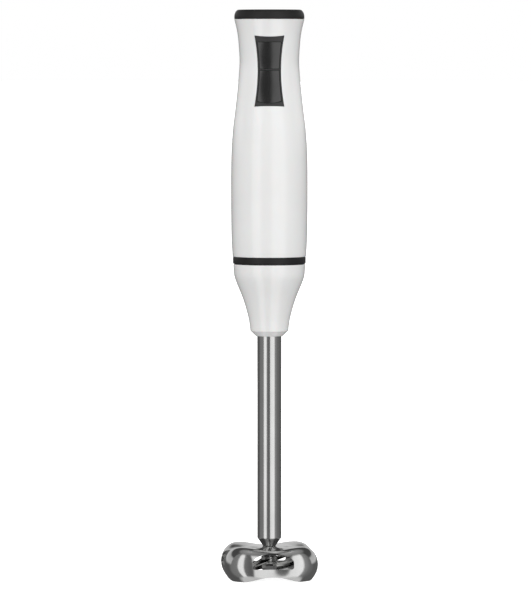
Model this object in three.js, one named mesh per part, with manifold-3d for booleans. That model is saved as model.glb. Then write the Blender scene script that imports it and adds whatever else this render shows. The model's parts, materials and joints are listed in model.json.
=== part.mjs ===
// Immersion blender: a motor handle in two half shells, and a blending leg that twists off it,
// made of a plastic sleeve, a steel tube with the drive shaft inside, a four-lobed guard and a blade.
// Millimetres, +Z up. The origin is under the middle of the guard, on the plane its feet stand on.
// The buttons face -Y.
import * as THREE from "three";
import { mergeVertices } from "three/addons/utils/BufferGeometryUtils.js";
import Module from "manifold-3d";

const wasm = await Module();
wasm.setup();

// ---------------------------------------------------------------- driving dimensions

// Lengths along the axis, from the feet up
const tubeFoot = 22.2; // lower end of the steel tube above the feet
const tubeExposed = 143;
const sleeveLength = 49;
const collarFlange = 4.7;
const housingLength = 160.9;
const capHeight = 6.3;

// Casings
const housingWall = 2.2;
const sleeveWall = 2.2;
const topRadius = 23.75;
const throatRadius = 21.4;
const waistRadius = 20.15;
const flankRadius = 22;
const shoulderRadius = 24.8;
const bellyRadius = 25.95;
const hemRadius = 24.9;
const collarRadius = 24.65;
const capEdge = 3.2; // rounding of the cap's upper edge, inwards
const capDrop = 4.8; // and downwards
const capWall = 2.4;

// Leg
const sleeveTopRadius = 24.35;
const sleeveNeckRadius = 12.9;
const sleeveChamfer = 4;
const tubeRadius = 8.2;
const neckHeight = 5.4;
const fluteCount = 8;
const fluteDepth = 0.6;
const tubeWall = 0.7;
const shaftRadius = 3;
const shaftRoom = 0.6; // free space round the shaft in the tube's neck
const neckRadius = shaftRadius + shaftRoom + tubeWall; // where the tube is drawn in to meet the guard
const tubeSocket = 23.7; // how far the tube goes up into the sleeve

// Bayonet
const spigotRadius = 18.8;
const spigotWall = 2.2;
const spigotLength = 11.7;
const lugReach = 1.8;
const lugHeight = 3;
const lugAngle = 26; // degrees of arc
const lugCount = 3;
const unlockTurn = 38; // degrees
const ledgeHeight = 3.5;

// Guard
const guardSheet = 0.9;
const guardTurn = 5; // degrees that the lobes stand round from the diagonals
const lobeRadius = 38;
const valleyRadius = 31.2;
const lobeCrest = 23.2;
const valleyCrest = 20.6;
const girthHeight = 10.5; // where the guard is widest
const lobeHemInset = 5.8;
const valleyHemInset = 1.4;
const rimRise = 3.4; // how far the hem lifts off the table between the feet
const windowWidth = 28;
const windowTop = 19.3;
const hemBand = 5.6; // sheet left under each window

// Blade
const bladeReach = 22;
const bladeWidth = 11;
const bladeSheet = 1.4;
const bladeHeight = 12.2;
const bladeTurn = 34; // degrees, where the wings stand at rest

// Button panel, on the handle's waist
const panelHeight = 47.7;
const panelDrop = 11.2; // below the top of the housing
const panelEndWidth = 20;
const panelWaistWidth = 15.5;
const panelEndSag = 0.8;
const panelRim = 0.9;
const panelUpperLip = 4.2;
const panelLowerLip = 3.6;
const panelBar = 0.9; // bar between the two buttons
const panelProud = 0.35;
const buttonTravel = 1.8;
const buttonSink = 0.3; // face of a button below the housing's surface

// Motor
const motorRadius = 19.5;
const motorLength = 0.36 * housingLength;
const canWall = 1.5;
const armatureRadius = 14.1;
const armatureLength = motorLength - 27;
const armatureSlots = 12;
const motorShaftRadius = 2.5;
const commutatorRadius = 6.5;
const fanRadius = 17;
const fanBlades = 9;
const couplingRadius = 8.5;

// Fits
const gap = 0.1; // between faces that rest on each other
const running = 0.05; // a shaft in its bush
const slip = 0.3; // between plastic pieces that slide or turn
const seam = 0.2; // between the half shells

// Sides of round pieces
const FINE = 32;
const MEDIUM = 24;
const SMALL = 16;
const HOUSING_STEPS = 12;

// ---------------------------------------------------------------- heights worked out from them

const sleeveBottom = tubeFoot + tubeExposed;
const sleeveTop = sleeveBottom + sleeveLength;
const collarBottom = sleeveTop + slip;
const flangeTop = collarBottom + collarFlange;
const housingBottom = flangeTop + gap;
const housingTop = housingBottom + housingLength;
const capBottom = housingTop + gap;
const capTop = capBottom + capHeight;
const tubeTop = sleeveBottom + tubeSocket;
const ledgeTop = collarBottom + ledgeHeight;
const chamberRadius = spigotRadius + lugReach + slip;
const plateBottom = sleeveTop + spigotLength + 2.5;
const plateThickness = 3;
const plateTop = plateBottom + plateThickness;
const motorBottom = plateTop + 2.4;
const motorTop = motorBottom + motorLength;
const panelTop = housingTop - panelDrop;
const panelBottom = panelTop - panelHeight;
const panelMiddle = panelBottom + 0.52 * panelHeight;

// ---------------------------------------------------------------- solids

function solidOf(geometry) {
  const flat = geometry.index ? geometry.toNonIndexed() : geometry;
  const bare = new THREE.BufferGeometry().setAttribute("position", flat.getAttribute("position"));
  const merged = mergeVertices(bare, 1e-4);
  const vertProperties = merged.attributes.position.array;
  return new wasm.Manifold(
    new wasm.Mesh({ numProp: 3, vertProperties, triVerts: new Uint32Array(merged.index.array) }),
  );
}

function geometryOf(solid) {
  const mesh = solid.getMesh();
  const geometry = new THREE.BufferGeometry();
  geometry.setAttribute("position", new THREE.BufferAttribute(mesh.vertProperties, mesh.numProp));
  geometry.setIndex(new THREE.BufferAttribute(mesh.triVerts, 1));
  return geometry;
}

// A solid of revolution about Z. The profile is a list of [radius, height], either way round.
function revolve(profile, sides = MEDIUM) {
  const points = profile.map(([r, z]) => new THREE.Vector2(r, z));
  if (points[0].x > 0) points.push(points[0].clone());
  if (THREE.ShapeUtils.area(points) < 0) points.reverse();
  return solidOf(new THREE.LatheGeometry(points, sides).rotateX(Math.PI / 2));
}

function disc(radius, low, high, sides = MEDIUM) {
  return revolve([[0, low], [radius, low], [radius, high], [0, high]], sides);
}

function ring(outer, inner, low, high, sides = MEDIUM) {
  return revolve([[inner, low], [outer, low], [outer, high], [inner, high]], sides);
}

// A closed surface whose section changes with the angle about Z.
function sweepRound(sectionAt, sides) {
  const sections = Array.from({ length: sides }, (_, i) => sectionAt((2 * Math.PI * i) / sides));
  const count = sections[0].length;
  const positions = sections.flatMap((section, i) => {
    const a = (2 * Math.PI * i) / sides;
    return section.flatMap(([r, z]) => [r * Math.cos(a), r * Math.sin(a), z]);
  });
  const index = [];
  for (let i = 0; i < sides; i++) {
    for (let j = 0; j < count; j++) {
      const [a, b] = [i * count + j, i * count + ((j + 1) % count)];
      const [c, d] = [((i + 1) % sides) * count + j, ((i + 1) % sides) * count + ((j + 1) % count)];
      index.push(a, c, b, b, c, d);
    }
  }
  const geometry = new THREE.BufferGeometry();
  geometry.setAttribute("position", new THREE.Float32BufferAttribute(positions, 3));
  return solidOf(geometry.setIndex(index));
}

function block(x0, x1, y0, y1, z0, z1) {
  const box = new THREE.BoxGeometry(x1 - x0, y1 - y0, z1 - z0);
  return solidOf(box.translate((x0 + x1) / 2, (y0 + y1) / 2, (z0 + z1) / 2));
}

// A round bar along Y from y0 to y1, centred on (x, z).
function barY(radius, x, z, y0, y1, sides = SMALL) {
  const bar = new THREE.CylinderGeometry(radius, radius, y1 - y0, sides);
  return solidOf(bar.translate(x, (y0 + y1) / 2, z));
}

// A round bar along Z, centred on (x, y).
function barZ(radius, x, y, z0, z1, sides = SMALL) {
  const bar = new THREE.CylinderGeometry(radius, radius, z1 - z0, sides).rotateX(Math.PI / 2);
  return solidOf(bar.translate(x, y, (z0 + z1) / 2));
}

// A shape drawn in X and Z, carried along Y from y0 to y1.
function prismY(shape, y0, y1, curveSegments = 8) {
  const prism = new THREE.ExtrudeGeometry(shape, { depth: y1 - y0, bevelEnabled: false, curveSegments });
  return solidOf(prism.rotateX(Math.PI / 2).translate(0, y1, 0));
}

// A shape drawn in X and Y, carried up Z from z0 to z1.
function prismZ(shape, z0, z1, curveSegments = 8) {
  const prism = new THREE.ExtrudeGeometry(shape, { depth: z1 - z0, bevelEnabled: false, curveSegments });
  return solidOf(prism.translate(0, 0, z0));
}

const turned = (solid, degrees) => solid.rotate([0, 0, degrees]);
const union = (solids) => solids.reduce((all, next) => all.add(next));

// Copies of a solid, evenly round Z.
function around(solid, count, first = 0) {
  return union(Array.from({ length: count }, (_, i) => turned(solid, first + (360 * i) / count)));
}

// A sector of a ring, degrees wide, centred on the direction given in degrees from +X.
function sector(outer, inner, low, high, width, centre) {
  const half = THREE.MathUtils.degToRad(width / 2);
  const shape = new THREE.Shape();
  shape.absarc(0, 0, outer, -half, half, false);
  shape.absarc(0, 0, inner, half, -half, true);
  return turned(prismZ(shape, low, high, 5), centre);
}

// ---------------------------------------------------------------- outlines

// Outer radius of the handle, as [radius, share of its length] from the hem up to the cap.
const housingCurve = new THREE.SplineCurve(
  [
    [hemRadius, 0],
    [bellyRadius - 0.3, 0.087],
    [bellyRadius, 0.25],
    [bellyRadius - 0.15, 0.41],
    [shoulderRadius, 0.524],
    [shoulderRadius / 2 + flankRadius / 2 - 0.2, 0.61],
    [flankRadius, 0.675],
    [waistRadius + 0.55, 0.76],
    [waistRadius, 0.827],
    [waistRadius + 0.62, 0.894],
    [throatRadius, 0.933],
    [throatRadius + 1, 0.966],
    [topRadius, 1],
  ].map(([r, share]) => new THREE.Vector2(r, housingBottom + share * housingLength)),
);

// Outer radius of the sleeve, from its neck up to the joint with the handle.
const sleeveCurve = new THREE.SplineCurve(
  [
    [sleeveNeckRadius, sleeveBottom + sleeveChamfer],
    [sleeveNeckRadius + 0.5, sleeveTop - 40.8],
    [sleeveNeckRadius + 1.5, sleeveTop - 35.4],
    [17.5, sleeveTop - 24.5],
    [21.85, sleeveTop - 13.6],
    [sleeveTopRadius - 0.65, sleeveTop - 8.2],
    [sleeveTopRadius - 0.1, sleeveTop - 2.7],
    [sleeveTopRadius, sleeveTop],
  ].map(([r, z]) => new THREE.Vector2(r, z)),
);

// Points of a curve between two heights, its radius grown by an offset.
function stretch(curve, low, high, offset, steps) {
  const dense = curve.getPoints(160);
  const radiusAt = (z) => {
    const i = Math.max(1, dense.findIndex((p) => p.y >= z));
    const [a, b] = [dense[i - 1], dense[i]];
    return a.x + ((b.x - a.x) * (z - a.y)) / (b.y - a.y);
  };
  return Array.from({ length: steps + 1 }, (_, i) => {
    const z = low + ((high - low) * i) / steps;
    return [radiusAt(Math.min(z, dense[160].y - 1e-6)) + offset, z];
  });
}

// The wall between two offsets of the handle's surface.
function housingBand(low, high, outer, inner, steps) {
  const outside = stretch(housingCurve, low, high, outer, steps);
  const inside = stretch(housingCurve, low, high, inner, steps);
  return revolve([...outside, ...inside.reverse()], FINE);
}

// The button panel's outline, drawn in X and Z: waisted sides and ends that sag to the middle.
function panelOutline(inset) {
  const [low, high] = [panelBottom + inset, panelTop - inset];
  const end = panelEndWidth / 2 - inset;
  const waist = panelWaistWidth / 2 - inset;
  const pull = 2 * waist - end; // control point that brings a quadratic side in to the waist
  const shape = new THREE.Shape();
  shape.moveTo(-end, low);
  shape.quadraticCurveTo(0, low + panelEndSag, end, low);
  shape.quadraticCurveTo(pull, panelMiddle, end, high);
  shape.quadraticCurveTo(0, high - 2 * panelEndSag, -end, high);
  shape.quadraticCurveTo(-pull, panelMiddle, -end, low);
  return shape;
}

const frontPrism = (inset) => prismY(panelOutline(inset), -40, -8, 10);

// ---------------------------------------------------------------- materials

const finish = (color, roughness, metalness = 0) =>
  new THREE.MeshStandardMaterial({ color, roughness, metalness });
const white = finish(0xe6e6e6, 0.3);
const charcoal = finish(0x2a2a2a, 0.45);
const softBlack = finish(0x303030, 0.55);
const rubber = finish(0x1c1c1c, 0.8);
const stainless = finish(0xb4b4b2, 0.25, 1);
const steel = finish(0x8c8c8a, 0.4, 1);
const zinc = finish(0x9a9c9e, 0.35, 1);
const copper = finish(0xb56b3a, 0.35, 1);
const brass = finish(0xc2a24a, 0.35, 1);
const bronze = finish(0x9c7340, 0.5, 1);
const ferrite = finish(0x3b3b3d, 0.8);
const carbon = finish(0x202022, 0.9);
const nylon = finish(0xd8d4c8, 0.5);
const laminate = finish(0x2f6b3a, 0.6);
const moulding = finish(0x1f2733, 0.6);
const filmBlue = finish(0x2b4d8f, 0.5);

const group = new THREE.Group();

function piece(name, solid, material) {
  const mesh = new THREE.Mesh(geometryOf(solid), material);
  mesh.name = name;
  group.add(mesh);
}

// ---------------------------------------------------------------- handle casings

const upperBoss = { x: 14.7, z: housingTop - 8.6 };
const lowerBoss = { x: 14.7, z: panelBottom - 8 };
const bosses = [upperBoss, lowerBoss].flatMap(({ x, z }) => [{ x: -x, z }, { x, z }]);
const bossRadius = 3.2;
const screwRadius = 1.4;
const screwHeadRadius = 2.7;
const screwSeat = 7.5; // where the heads bear, behind the seam
const screwLength = 15;

// Ribs inside the handle: a pair that grips the collar's plate, and one that holds the upper damper.
const catchRadius = chamberRadius + 1.75;
const collarTubeRadius = chamberRadius + 1.1;
const damperTop = motorTop + 4.3;
function ribs(low, high, inner) {
  const outside = stretch(housingCurve, low, high, -housingWall + 0.4, 1);
  return revolve([...outside, [inner, high], [inner, low]], FINE);
}

function housingShell() {
  const shell = housingBand(housingBottom, housingTop, 0, -housingWall, HOUSING_STEPS);
  return union([
    shell,
    ribs(plateBottom - 3.2, plateBottom - slip, collarTubeRadius + slip),
    ribs(plateTop + slip, plateTop + 2, motorRadius + 1.2),
    ribs(damperTop + gap, damperTop + 1.8, motorRadius - 0.5),
  ]);
}

// What lies inside the handle's walls, reaching a little way into them.
const withinWalls = revolve(
  [
    [0, housingBottom],
    ...stretch(housingCurve, housingBottom, housingTop, -housingWall + 0.4, HOUSING_STEPS),
    [0, housingTop],
  ],
  FINE,
);

function frontHousing(shell) {
  const pillars = union(bosses.map(({ x, z }) => barY(bossRadius, x, z, -24, -seam / 2, 16)));
  const pilots = union(
    bosses.map(({ x, z }) => barY(screwRadius + gap, x, z, screwSeat - screwLength - 1, 1, 12)),
  );
  return shell
    .add(pillars.intersect(withinWalls))
    .intersect(block(-40, 40, -40, -seam / 2, 0, 500))
    .subtract(pilots)
    .subtract(frontPrism(-0.15));
}

const ventCount = 5;
function vents() {
  const slot = (low, high) => {
    const cut = block(-1, 1, 12, 40, low, high);
    return union(Array.from({ length: ventCount }, (_, i) => turned(cut, (i - (ventCount - 1) / 2) * 10)));
  };
  return slot(motorTop + 8, motorTop + 20).add(slot(motorBottom + 5, motorBottom + 17));
}

function rearHousing(shell) {
  const pillars = union(bosses.map(({ x, z }) => barY(bossRadius + 0.8, x, z, seam / 2, 24, 16)));
  const holes = union(bosses.map(({ x, z }) => barY(screwRadius + gap, x, z, -1, 30, 12)));
  const wells = union(bosses.map(({ x, z }) => barY(screwHeadRadius + slip, x, z, screwSeat, 30, 16)));
  return shell
    .add(pillars.intersect(withinWalls))
    .intersect(block(-40, 40, seam / 2, 40, 0, 500))
    .subtract(holes)
    .subtract(wells)
    .subtract(vents());
}

const shell = housingShell();
piece("front_housing", frontHousing(shell), white);
piece("rear_housing", rearHousing(shell), white);

bosses.forEach(({ x, z }, i) => {
  const head = barY(screwHeadRadius, x, z, screwSeat + gap, screwSeat + 2.1, 16);
  const slotCut = block(x - 0.4, x + 0.4, screwSeat + 1.2, screwSeat + 3, z - 2, z + 2);
  const shank = barY(screwRadius, x, z, screwSeat - screwLength, screwSeat + 0.5, 12);
  piece(`housing_screw_${i + 1}`, head.add(shank).subtract(slotCut), zinc);
});

// ---------------------------------------------------------------- cap and cord gland

const glandAt = { x: 0, y: 11 };
const glandBore = 3.3;
const glandNeck = 5;

function topCap() {
  const corner = Array.from({ length: 4 }, (_, i) => {
    const a = (Math.PI / 2) * ((i + 0.5) / 4);
    return [topRadius - capEdge * (1 - Math.cos(a)), capTop - capDrop * (1 - Math.sin(a))];
  });
  const skirtRadius = topRadius - housingWall - slip;
  const crown = revolve(
    [
      [0, capTop - capWall],
      [skirtRadius - 2, capTop - capWall],
      [skirtRadius - 2, capBottom - 3],
      [skirtRadius - 1.2, capBottom - 3],
      [skirtRadius - 0.4, capBottom],
      [topRadius, capBottom],
      ...corner,
      [0, capTop],
    ],
    FINE,
  );
  return crown.subtract(barZ(glandNeck + gap, glandAt.x, glandAt.y, capBottom - 5, capTop + 1, 24));
}

function cordGland() {
  const flange = glandNeck + 1.3;
  return revolve(
    [
      [glandBore, capTop - capWall - 1.8],
      [flange, capTop - capWall - 1.8],
      [flange, capTop - capWall - gap],
      [glandNeck, capTop - capWall - gap],
      [glandNeck, capTop - 0.3],
      [glandBore + 0.5, capTop - 0.3],
      [glandBore, capTop - 0.8],
    ],
    24,
  ).translate([glandAt.x, glandAt.y, 0]);
}

piece("top_cap", topCap(), charcoal);
piece("cord_gland", cordGland(), rubber);

// ---------------------------------------------------------------- button panel and buttons

const flangeOffset = -(housingWall + 0.3);
const flangeBack = flangeOffset - 1.25;

// The two windows, between the lips and the bar. Growing one moves every edge outwards.
const buttonSpans = {
  speed: [panelMiddle + panelBar / 2, panelTop - panelUpperLip],
  turbo: [panelBottom + panelLowerLip, panelMiddle - panelBar / 2],
};
function windowPrism([low, high], grow) {
  const slab = block(-20, 20, -40, -8, low - grow, high + grow);
  return frontPrism(panelRim - grow).intersect(slab);
}

function buttonBezel() {
  const [low, high] = [panelBottom - 3, panelTop + 3];
  const face = housingBand(low, high, panelProud, flangeOffset - 0.2, 5).intersect(frontPrism(0));
  const flange = housingBand(low, high, flangeOffset, flangeBack, 5).intersect(frontPrism(-1.4));
  return face
    .add(flange)
    .subtract(windowPrism(buttonSpans.speed, 0))
    .subtract(windowPrism(buttonSpans.turbo, 0));
}

const boardFront = -6;
const boardThickness = 1.6;
const switchDepth = 5.8;
const switchFront = boardFront - switchDepth - gap;
const plungerReach = 1.2 + buttonTravel;
const plungerTip = switchFront - 0.2 - buttonTravel;

function button(span) {
  const [low, high] = [panelBottom - 3, panelTop + 3];
  const stem = barY(2.2, 0, (span[0] + span[1]) / 2, -17, plungerTip - gap, 16);
  const plug = housingBand(low, high, -buttonSink, flangeBack - 0.6, 5).intersect(windowPrism(span, -0.25));
  const flangeBand = housingBand(low, high, flangeBack - 0.2, flangeBack - 1.4, 5);
  const flange = flangeBand.intersect(windowPrism(span, 0.3));
  return plug.add(flange).add(stem);
}

piece("button_bezel", buttonBezel(), charcoal);
for (const [name, span] of Object.entries(buttonSpans)) {
  const z = (span[0] + span[1]) / 2;
  piece(`${name}_button`, button(span), softBlack);
  const pit = barY(1.5, 0, z, switchFront - 1, switchFront + plungerReach + 0.3, 12);
  const body = block(-3.2, 3.2, switchFront, boardFront - gap, z - 6.4, z + 6.4);
  piece(`${name}_switch`, body.subtract(pit), moulding);
  piece(`${name}_switch_plunger`, barY(1.2, 0, z, plungerTip, switchFront + 1.2, 12), nylon);
}

// ---------------------------------------------------------------- circuit board

const boardHalf = 8.6;
const boardBack = boardFront + boardThickness;
const boardLow = panelBottom - 1;
const boardHigh = panelTop - 2;
piece("circuit_board", block(-boardHalf, boardHalf, boardFront, boardBack, boardLow, boardHigh), laminate);

const behindBoard = boardBack + gap;
piece(
  "suppression_capacitor",
  block(-7.5, 7.5, behindBoard, behindBoard + 8, boardHigh - 16, boardHigh - 2),
  filmBlue,
);
piece(
  "rectifier_bridge",
  block(-7, 7, behindBoard, behindBoard + 3.6, boardLow + 3, boardLow + 12),
  moulding,
);
piece(
  "interference_choke",
  union([
    barZ(3.2, 0, behindBoard + 5.2, boardLow + 14, boardHigh - 18, 16),
    barZ(4.8, 0, behindBoard + 5.2, boardLow + 14, boardLow + 15.5, 16),
    barZ(4.8, 0, behindBoard + 5.2, boardHigh - 19.5, boardHigh - 18, 16),
  ]),
  copper,
);

// ---------------------------------------------------------------- lock collar

const plateHole = couplingRadius + 1.1;
const motorScrewAt = 13.2;
const lugDirections = Array.from({ length: lugCount }, (_, i) => 90 + (360 * i) / lugCount);

function lockCollar() {
  const body = revolve(
    [
      [spigotRadius + slip, collarBottom],
      [collarRadius - 0.3, collarBottom],
      [collarRadius, collarBottom + 0.5],
      [collarRadius + 0.05, flangeTop - 0.5],
      [collarRadius - 0.2, flangeTop],
      [collarTubeRadius, flangeTop],
      [collarTubeRadius, plateBottom],
      [catchRadius, plateBottom],
      [catchRadius, plateTop],
      [plateHole, plateTop],
      [plateHole, plateBottom],
      [chamberRadius, plateBottom],
      [chamberRadius, ledgeTop],
      [spigotRadius + slip, ledgeTop],
    ],
    FINE,
  );
  const notchAngle = lugAngle + 6;
  const notches = lugDirections.map((d) =>
    sector(chamberRadius, spigotRadius - 2, collarBottom - 1, ledgeTop + 1, notchAngle, d + unlockTurn),
  );
  const stopSpan = 5; // degrees
  const stopTop = ledgeTop + lugHeight + 1;
  const stopTurns = [
    -(lugAngle / 2 + 1 + stopSpan / 2),
    lugAngle / 2 + unlockTurn + 1 + stopSpan / 2,
  ];
  const stops = lugDirections.flatMap((d) =>
    stopTurns.map((turn) =>
      sector(chamberRadius + 0.3, spigotRadius + slip, ledgeTop - 0.3, stopTop, stopSpan, d + turn),
    ),
  );
  const screwHoles = [-1, 1].map((side) =>
    barZ(1.9, side * motorScrewAt, 0, plateBottom - 1, plateTop + 1, 12),
  );
  return body.subtract(union(notches)).add(union(stops)).subtract(union(screwHoles));
}

piece("lock_collar", lockCollar(), charcoal);

// ---------------------------------------------------------------- motor

const canFloor = 2.5;
const bearingRadius = 6;
const magnetBottom = motorBottom + 6.5;
const coreBottom = magnetBottom + 2;
const coreTop = coreBottom + armatureLength;
const commutatorBottom = coreTop + 5.5;
const commutatorTop = commutatorBottom + 8;
const brushPlateThickness = 3;
const bearingHeight = 5;
const fanBottom = motorTop + brushPlateThickness + 3.5;
const fanHeight = 6;
const shaftBottom = plateBottom - 8;

piece("lower_motor_damper", ring(motorRadius, motorScrewAt + 3, plateTop + gap, motorBottom - gap), rubber);

function motorCan() {
  const can = revolve(
    [
      [bearingRadius + gap, motorBottom],
      [motorRadius - 1, motorBottom],
      [motorRadius, motorBottom + 1],
      [motorRadius, motorTop],
      [motorRadius - canWall, motorTop],
      [motorRadius - canWall, motorBottom + canFloor],
      [bearingRadius + gap, motorBottom + canFloor],
    ],
    FINE,
  );
  const taps = [-1, 1].map((side) =>
    barZ(1.5, side * motorScrewAt, 0, motorBottom - 1, motorBottom + canFloor + 1, 12),
  );
  return can.subtract(union(taps));
}
piece("motor_can", motorCan(), steel);

[-1, 1].forEach((side, i) => {
  const x = side * motorScrewAt;
  const head = barZ(3, x, 0, plateBottom - 2, plateBottom - gap, 16);
  const shank = barZ(1.4, x, 0, plateBottom - 1, motorBottom + canFloor, 12);
  const slotCut = block(x - 2.2, x + 2.2, -0.4, 0.4, plateBottom - 3, plateBottom - 1.2);
  piece(`motor_screw_${i + 1}`, head.add(shank).subtract(slotCut), zinc);
  const outer = motorRadius - canWall - 0.25;
  const magnet = sector(outer, armatureRadius + 0.6, magnetBottom, coreTop + 2, 130, side * 90);
  piece(`magnet_${i + 1}`, magnet, ferrite);
});

piece(
  "lower_motor_bearing",
  ring(bearingRadius, motorShaftRadius + running, motorBottom - 1, motorBottom + canFloor + 1.2, 24),
  bronze,
);

function slotBoxes(width, inner, outer, low, high) {
  return around(block(inner, outer, -width / 2, width / 2, low, high), armatureSlots);
}
const coreBore = motorShaftRadius + gap;
const slotFloor = 8;
piece(
  "armature_core",
  disc(armatureRadius, coreBottom, coreTop, FINE)
    .subtract(slotBoxes(2.8, slotFloor, 20, coreBottom - 1, coreTop + 1))
    .subtract(disc(coreBore, coreBottom - 1, coreTop + 1, 16)),
  steel,
);

function windings() {
  const inner = slotFloor - 3.6;
  const coil = (low, high) => {
    const crown = [[11, low], [12.6, low + 1.6], [12.6, high - 1.6], [11, high]];
    return revolve([[inner, low], ...crown, [inner, high]], 16);
  };
  const bars = slotBoxes(2.2, slotFloor + 0.4, armatureRadius - 1.7, coreBottom - 1, coreTop + 1);
  return union([bars, coil(coreBottom - 4.6, coreBottom - 0.3), coil(coreTop + 0.3, coreTop + 4.6)]);
}
piece("armature_windings", windings(), copper);

function commutator() {
  const barrel = ring(commutatorRadius, motorShaftRadius + gap, commutatorBottom, commutatorTop, 24);
  const slit = block(commutatorRadius - 0.8, 10, -0.25, 0.25, commutatorBottom + 1.4, commutatorTop + 1);
  return barrel.subtract(around(slit, armatureSlots, 180 / armatureSlots));
}
piece("commutator", commutator(), copper);

const brushZ = (commutatorBottom + commutatorTop) / 2;
const brushHalf = 2.5;
const brushInner = commutatorRadius + 0.15;
const brushLength = 8;
const holderTop = motorTop - gap;
for (const [label, side] of [["left", -1], ["right", 1]]) {
  const span = (a, b) => (side < 0 ? [-b, -a] : [a, b]);
  const [b0, b1] = span(brushInner, brushInner + brushLength);
  piece(`brush_${label}`, block(b0, b1, -2, 2, brushZ - brushHalf, brushZ + brushHalf), carbon);
  const [h0, h1] = span(brushInner + 1, motorRadius - canWall - 0.6);
  const [c0, c1] = span(brushInner, motorRadius - canWall - 1.2);
  const sheath = block(h0, h1, -2.8, 2.8, brushZ - brushHalf - 0.9, holderTop);
  const channel = block(c0, c1, -2.15, 2.15, brushZ - brushHalf - 0.15, brushZ + brushHalf + 0.15);
  piece(`brush_holder_${label}`, sheath.subtract(channel), brass);
}

function brushPlate() {
  const disk = ring(motorRadius, bearingRadius + gap, motorTop + gap, motorTop + brushPlateThickness, FINE);
  const openings = around(sector(15.5, 9, motorTop - 1, motorTop + brushPlateThickness + 1, 34, 0), 4, 45);
  return disk.subtract(openings);
}
piece("brush_plate", brushPlate(), moulding);
piece(
  "upper_motor_bearing",
  ring(bearingRadius, motorShaftRadius + running, motorTop - 1.5, motorTop - 1.5 + bearingHeight, 24),
  bronze,
);
piece("motor_shaft", disc(motorShaftRadius, shaftBottom, fanBottom + fanHeight, 20), steel);
piece(
  "upper_motor_damper",
  ring(motorRadius + 2.6, motorRadius + gap, motorTop - 3, damperTop, FINE),
  rubber,
);

function coolingFan() {
  const hub = ring(5, motorShaftRadius + gap, fanBottom, fanBottom + fanHeight, 20);
  const web = ring(fanRadius, 4.5, fanBottom, fanBottom + 1.2, MEDIUM);
  const blade = block(4.6, fanRadius - 0.6, -0.5, 0.5, fanBottom + 0.6, fanBottom + fanHeight);
  return union([hub, web, around(blade, fanBlades)]);
}
piece("cooling_fan", coolingFan(), moulding);

// ---------------------------------------------------------------- couplings

const dogTeeth = 6;
const dogBottom = sleeveTop - 1.8; // lower face of the motor's half
const socketDepth = 8.3;
const starTip = 6.2;
const starRoot = 4.6;

// A star with flat-topped teeth, grown by a clearance all round.
function star(grow) {
  const shape = new THREE.Shape();
  const half = (Math.PI / dogTeeth) * 0.5;
  const side = half * 0.42 + grow / starTip;
  for (let i = 0; i < dogTeeth; i++) {
    const a = (2 * Math.PI * i) / dogTeeth;
    const corners = [
      [starRoot + grow, a - half],
      [starTip + grow, a - side],
      [starTip + grow, a + side],
      [starRoot + grow, a + half],
    ];
    for (const [r, t] of corners) {
      const [x, y] = [r * Math.cos(t), r * Math.sin(t)];
      if (i === 0 && t === a - half) shape.moveTo(x, y);
      else shape.lineTo(x, y);
    }
  }
  shape.closePath();
  return shape;
}

function motorCoupling() {
  const top = plateBottom + 0.4;
  return disc(couplingRadius, dogBottom, top, 32)
    .subtract(prismZ(star(slip), dogBottom - 1, dogBottom + socketDepth))
    .subtract(disc(motorShaftRadius + running, dogBottom + socketDepth - 1, top + 1, 20));
}
piece("motor_coupling", motorCoupling(), nylon);

const driveTop = dogBottom - 2.5;
const dogSkirtBottom = dogBottom - 6.5;
piece(
  "shaft_coupling",
  disc(6.8, dogSkirtBottom, dogBottom - 0.5, 32)
    .add(prismZ(star(0), dogBottom - 0.8, dogBottom + socketDepth - 0.9))
    .subtract(disc(shaftRadius + gap, dogSkirtBottom - 1, driveTop + gap, 20)),
  nylon,
);

// ---------------------------------------------------------------- sleeve of the leg

const lidSeat = sleeveTop - 5.8;
const lidThickness = 2;
const spigotBore = spigotRadius - spigotWall;
const socketRadius = tubeRadius + 2.2;

function legSleeve() {
  const cavityBottom = sleeveBottom + 14.2;
  const outside = stretch(sleeveCurve, sleeveBottom + sleeveChamfer, sleeveTop, 0, 8);
  const inside = stretch(sleeveCurve, cavityBottom, lidSeat - 3, -sleeveWall, 4).reverse();
  const body = revolve(
    [
      [tubeRadius + gap, sleeveBottom],
      [sleeveNeckRadius - sleeveChamfer, sleeveBottom],
      ...outside,
      [spigotRadius, sleeveTop],
      [spigotRadius, sleeveTop + spigotLength],
      [spigotBore, sleeveTop + spigotLength],
      [spigotBore, lidSeat],
      [spigotBore - 1, lidSeat],
      [spigotBore - 1, lidSeat - 2],
      ...inside,
      [socketRadius, cavityBottom],
      [socketRadius, tubeTop + 1.7],
      [tubeRadius - tubeWall - 0.1, tubeTop + 1.7],
      [tubeRadius - tubeWall - 0.1, tubeTop + gap],
      [tubeRadius + gap, tubeTop + gap],
    ],
    FINE,
  );
  const lugBottom = ledgeTop + slip;
  const lugs = lugDirections.map((d) =>
    sector(spigotRadius + lugReach, spigotBore + 1, lugBottom, lugBottom + lugHeight, lugAngle, d),
  );
  return body.add(union(lugs));
}
piece("leg_sleeve", legSleeve(), white);
piece("sleeve_lid", ring(spigotBore - gap, 7.5, lidSeat + gap, lidSeat + lidThickness), white);

// ---------------------------------------------------------------- tube, shaft, bushes and seal

// How far a direction is into a flute of the tube's neck: 1 in the middle of a flute.
const fluteShare = (angle) => (1 + Math.cos(fluteCount * angle)) / 2;

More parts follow.
